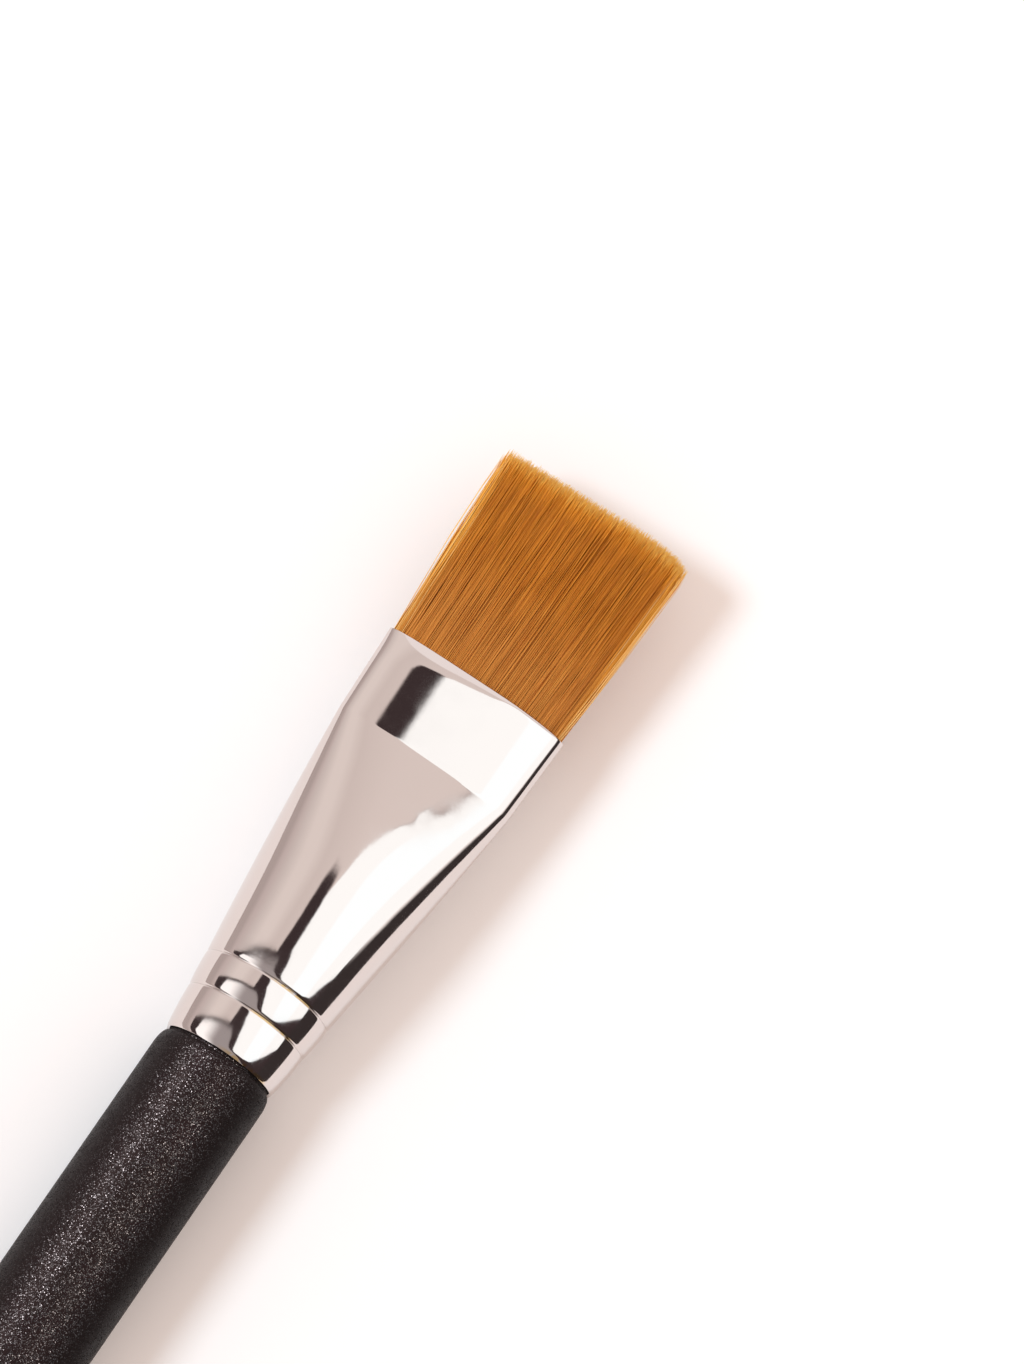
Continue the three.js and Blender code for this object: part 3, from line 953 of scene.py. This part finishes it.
wearGroup = buildWearGroup()


def addWear(tree, place, wear):
    return addNode(tree, "ShaderNodeGroup", {"node_tree": wearGroup}, {"Vector": place, **wear}).outputs


def dress(piece, material):
    piece.data.materials.clear()
    piece.data.materials.append(material)


lacquerSet = {
    "fleckScale": 8000.0,  # cells per metre
    "fleckShare": 0.8,
    "fleckTilt": 0.44,
    "fleckEdge": (0.36, 0.52),
    "fleckShine": (0.2, 1.0, 0.25, 1.0),  # a cell's random value to its brightness
    "base": (0.0045, 0.0026, 0.0026, 1),
    "fleck": (0.074, 0.0685, 0.0695, 1),
    "specularTint": (0.11, 0.075, 0.072, 1),
    "wear": {"Scale": 700.0, "Smooth": 0.48, "Worn": 0.58},
    "fleckRoughness": 0.33,
}


def makeLacquer():
    material, tree, shader, place = newMaterial("black lacquer with silver flecks")
    feeds = {"Vector": place, "Scale": lacquerSet["fleckScale"]}
    cells = addNode(tree, "ShaderNodeTexVoronoi", {"feature": "F1"}, feeds)
    near = rangeOut(tree, cells.outputs["Distance"], *lacquerSet["fleckEdge"], 1.0, 0.0)
    pick = addNode(tree, "ShaderNodeSeparateColor", feeds={0: cells.outputs["Color"]})
    chosen = mathOut(tree, "LESS_THAN", pick.outputs[0], lacquerSet["fleckShare"])
    fleck = mathOut(tree, "MULTIPLY", near, chosen)
    shine = mathOut(tree, "MULTIPLY", fleck, rangeOut(tree, pick.outputs[1], *lacquerSet["fleckShine"]))
    scatter = addNode(tree, "ShaderNodeTexWhiteNoise", feeds={"Vector": cells.outputs["Position"]})
    tilt = vectorOut(tree, "SUBTRACT", scatter.outputs["Color"], (0.5, 0.5, 0.5))
    lean = mathOut(tree, "MULTIPLY", fleck, lacquerSet["fleckTilt"])
    tilt = addNode(tree, "ShaderNodeVectorMath", {"operation": "SCALE"}, {0: tilt, "Scale": lean})
    upright = addNode(tree, "ShaderNodeNewGeometry").outputs["Normal"]
    normal = vectorOut(tree, "NORMALIZE", vectorOut(tree, "ADD", upright, tilt.outputs[0]))
    tree.links.new(mixOut(tree, shine, lacquerSet["base"], lacquerSet["fleck"]), shader.inputs["Base Color"])
    tree.links.new(fleck, shader.inputs["Metallic"])
    worn = addWear(tree, place, lacquerSet["wear"])
    rough = rangeOut(tree, fleck, 0.0, 1.0, worn["Roughness"], lacquerSet["fleckRoughness"])
    tree.links.new(rough, shader.inputs["Roughness"])
    tree.links.new(normal, shader.inputs["Normal"])
    shader.inputs["Specular Tint"].default_value = lacquerSet["specularTint"]
    return material


# two lamps that light only the gloss of the handle, for its flecks
glintSpread = 14.0  # degrees
glintLamps = {
    "glintLeft": {"side": -38.0, "along": 14.0, "power": 4.3, "color": (1.0, 0.98, 1.0)},
    "glintRight": {"side": 24.0, "along": 14.0, "power": 1.95, "color": (1.0, 0.90, 0.82)},
}


def buildGlints():
    lit = bpy.data.collections.new("lacquerGlints")
    lit.objects.link(handlePiece)
    for name, lamp in glintLamps.items():
        side, along = math.radians(lamp["side"]), math.radians(lamp["along"])
        level = math.cos(along)
        toward = Vector((math.sin(along), -math.sin(side) * level, math.cos(side) * level))
        glint = addSun(name, lamp["power"], lamp["color"], glintSpread, toward)
        glint.data.diffuse_factor = 0.0
        glint.light_linking.receiver_collection = lit


platingSet = {
    "plate": (0.70, 0.635, 0.61, 1),
    "brass": (0.72, 0.53, 0.28, 1),
    "brassLine": (0.10, 0.22),  # how far the bare metal reaches on each side of a crimp
    "brassEdge": (0.15, 0.40),  # and from the base edge
    "brassSide": (1.2, -1.0, -4.2, -5.0),  # where along y it starts, is full, fades and ends
    "brassBreaks": 1400.0,
    "breakRange": (0.35, 0.55),
    "bump": {"Strength": 0.008, "Distance": 0.0005},
    "wear": {"Scale": 420.0, "Smooth": 0.055, "Worn": 0.095},
}


def makePlating():
    material, tree, shader, place = newMaterial("polished nickel plating")
    parts = addNode(tree, "ShaderNodeSeparateXYZ", feeds={0: place})
    u = mathOut(tree, "MULTIPLY_ADD", parts.outputs["X"], 1 / mm, -baseX / mm)
    bare = rangeOut(tree, u, *platingSet["brassEdge"], 1.0, 0.0)
    for crimp in ("lowerCrimp", "upperCrimp"):
        away = mathOut(tree, "ABSOLUTE", mathOut(tree, "SUBTRACT", u, ferruleForm[crimp]))
        bare = mathOut(tree, "MAXIMUM", bare, rangeOut(tree, away, *platingSet["brassLine"], 1.0, 0.0))
    y = mathOut(tree, "DIVIDE", parts.outputs["Y"], mm)
    start, full, fade, end = platingSet["brassSide"]
    side = mathOut(tree, "MULTIPLY", rangeOut(tree, y, start, full), rangeOut(tree, y, end, fade))
    noise = addNode(tree, "ShaderNodeTexNoise", feeds={"Vector": place, "Scale": platingSet["brassBreaks"]})
    breaks = rangeOut(tree, noise.outputs["Fac"], *platingSet["breakRange"])
    bare = mathOut(tree, "MULTIPLY", mathOut(tree, "MULTIPLY", bare, side), breaks)
    worn = addWear(tree, place, platingSet["wear"])
    bump = addNode(tree, "ShaderNodeBump", feeds={"Height": worn["Cloud"], **platingSet["bump"]})
    tree.links.new(mixOut(tree, bare, platingSet["plate"], platingSet["brass"]), shader.inputs["Base Color"])
    tree.links.new(worn["Roughness"], shader.inputs["Roughness"])
    tree.links.new(bump.outputs[0], shader.inputs["Normal"])
    shader.inputs["Metallic"].default_value = 1.0
    return material


filamentSet = {  # Range and Along run from root to tip, Across from the middle of the tuft to its edges
    "streaks": (140.0, 5200.0, 5200.0),  # cells per metre along and across the strands
    "streakDetail": 2.0,
    "streakTone": (0.32, 0.68, 0.0, 0.5),
    "ownTone": 0.5,  # share of the tone that is each strand's own
    "rootDeep": (0.51, 0.187, 0.031, 1),
    "rootPale": (0.75, 0.32, 0.062, 1),
    "freeDeep": (0.48, 0.150, 0.012, 1),
    "freePale": (0.69, 0.260, 0.025, 1),
    "freeRange": (0.3, 0.75),
    "ends": (0.76, 0.290, 0.024, 1),
    "endsRange": (0.87, 0.97),
    # lighter side strands: painted glow of light shining through the thin outer strands
    "edge": (0.92, 0.46, 0.070, 1),
    "edgeGlowAcross": (0.88, 0.98),
    "edgeGlowAlong": (0.3, 0.65, 0.35, 0.9),
    # paler ends at the tip: partly the filaments' own paler ends, partly painted glow of light shining
    # through the thin tapered ends
    "tipsPaleGlow": (1.0, 0.60, 0.11, 1),
    "tipsPaleGlowRange": (0.95, 0.99),
    "fringePaleGlow": (1.0, 0.68, 0.18, 1),
    "fringePaleGlowRange": (0.975, 1.0),
    "grain": (0.2, 0.8, 0.65, 1.0),  # tone to the share of the pale, glowing colours at the tip
    # pale loose hairs: painted glow of light shining through the thin hairs
    "loose": (0.95, 0.62, 0.22, 1),
    "looseGlowAcross": (1.1, tuftForm["strayGlowMark"]),
    "roughness": (0.5, 0.38),
    "specular": 0.25,
}


def makeFilament():
    material, tree, shader, place = newMaterial("golden synthetic filament")
    own, along, edge = (
        addNode(tree, "ShaderNodeAttribute", {"attribute_name": name}).outputs["Fac"]
        for name in ("strandTone", "strandAlong", "strandGlowEdge")
    )
    stretched = vectorOut(tree, "MULTIPLY", place, filamentSet["streaks"])
    feeds = {"Vector": stretched, "Scale": 1.0, "Detail": filamentSet["streakDetail"]}
    noise = addNode(tree, "ShaderNodeTexNoise", feeds=feeds)
    streak = rangeOut(tree, noise.outputs["Fac"], *filamentSet["streakTone"])
    tone = mathOut(tree, "MULTIPLY_ADD", own, filamentSet["ownTone"], streak)
    atRoot = mixOut(tree, tone, filamentSet["rootDeep"], filamentSet["rootPale"])
    free = mixOut(tree, tone, filamentSet["freeDeep"], filamentSet["freePale"])
    color = mixOut(tree, rangeOut(tree, along, *filamentSet["freeRange"]), atRoot, free)
    color = mixOut(tree, rangeOut(tree, along, *filamentSet["endsRange"]), color, filamentSet["ends"])
    # painted glow of light through the thin strands at the tuft's sides
    across = rangeOut(tree, edge, *filamentSet["edgeGlowAcross"])
    outer = mathOut(tree, "MULTIPLY", across, rangeOut(tree, along, *filamentSet["edgeGlowAlong"]))
    color = mixOut(tree, outer, color, filamentSet["edge"])
    # paler ends at the tip, partly their own colour and partly painted glow of light through the thin ends
    grain = rangeOut(tree, tone, *filamentSet["grain"])
    for part in ("tipsPaleGlow", "fringePaleGlow"):
        reached = rangeOut(tree, along, *filamentSet[part + "Range"])
        color = mixOut(tree, mathOut(tree, "MULTIPLY", reached, grain), color, filamentSet[part])
    # loose hairs get the painted glow of light through them
    color = mixOut(tree, rangeOut(tree, edge, *filamentSet["looseGlowAcross"]), color, filamentSet["loose"])
    tree.links.new(color, shader.inputs["Base Color"])
    rough = rangeOut(tree, tone, 0.0, 1.0, *filamentSet["roughness"])
    tree.links.new(rough, shader.inputs["Roughness"])
    shader.inputs["Specular IOR Level"].default_value = filamentSet["specular"]
    return material


resinSet = {
    "deep": (0.30, 0.14, 0.03, 1),
    "pale": (0.52, 0.28, 0.08, 1),
    "wear": {"Scale": 900.0, "Smooth": 0.25, "Worn": 0.4},
}


def makeResin():
    material, tree, shader, place = newMaterial("cured amber resin")
    worn = addWear(tree, place, resinSet["wear"])
    color = mixOut(tree, worn["Cloud"], resinSet["deep"], resinSet["pale"])
    tree.links.new(color, shader.inputs["Base Color"])
    tree.links.new(worn["Roughness"], shader.inputs["Roughness"])
    return material


dress(handlePiece, makeLacquer())
buildGlints()
dress(ferrulePiece, makePlating())
filamentFinish = makeFilament()
for tuftPiece in tuftPieces:
    dress(tuftPiece, filamentFinish)
resinFinish = makeResin()
for nodeName in ("tenon_adhesive", "root_resin"):
    dress(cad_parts[nodeName], resinFinish)
for layer, tuftPiece in enumerate(tuftPieces):  # each layer is one piece with its slice of resin
    rootSlab = buildRootSlab(layer)
    dress(rootSlab, resinFinish)
    clearSelection()
    rootSlab.select_set(True)
    tuftPiece.select_set(True)
    bpy.context.view_layer.objects.active = tuftPiece
    bpy.ops.object.join()
print("materials set")

bpy.context.view_layer.update()
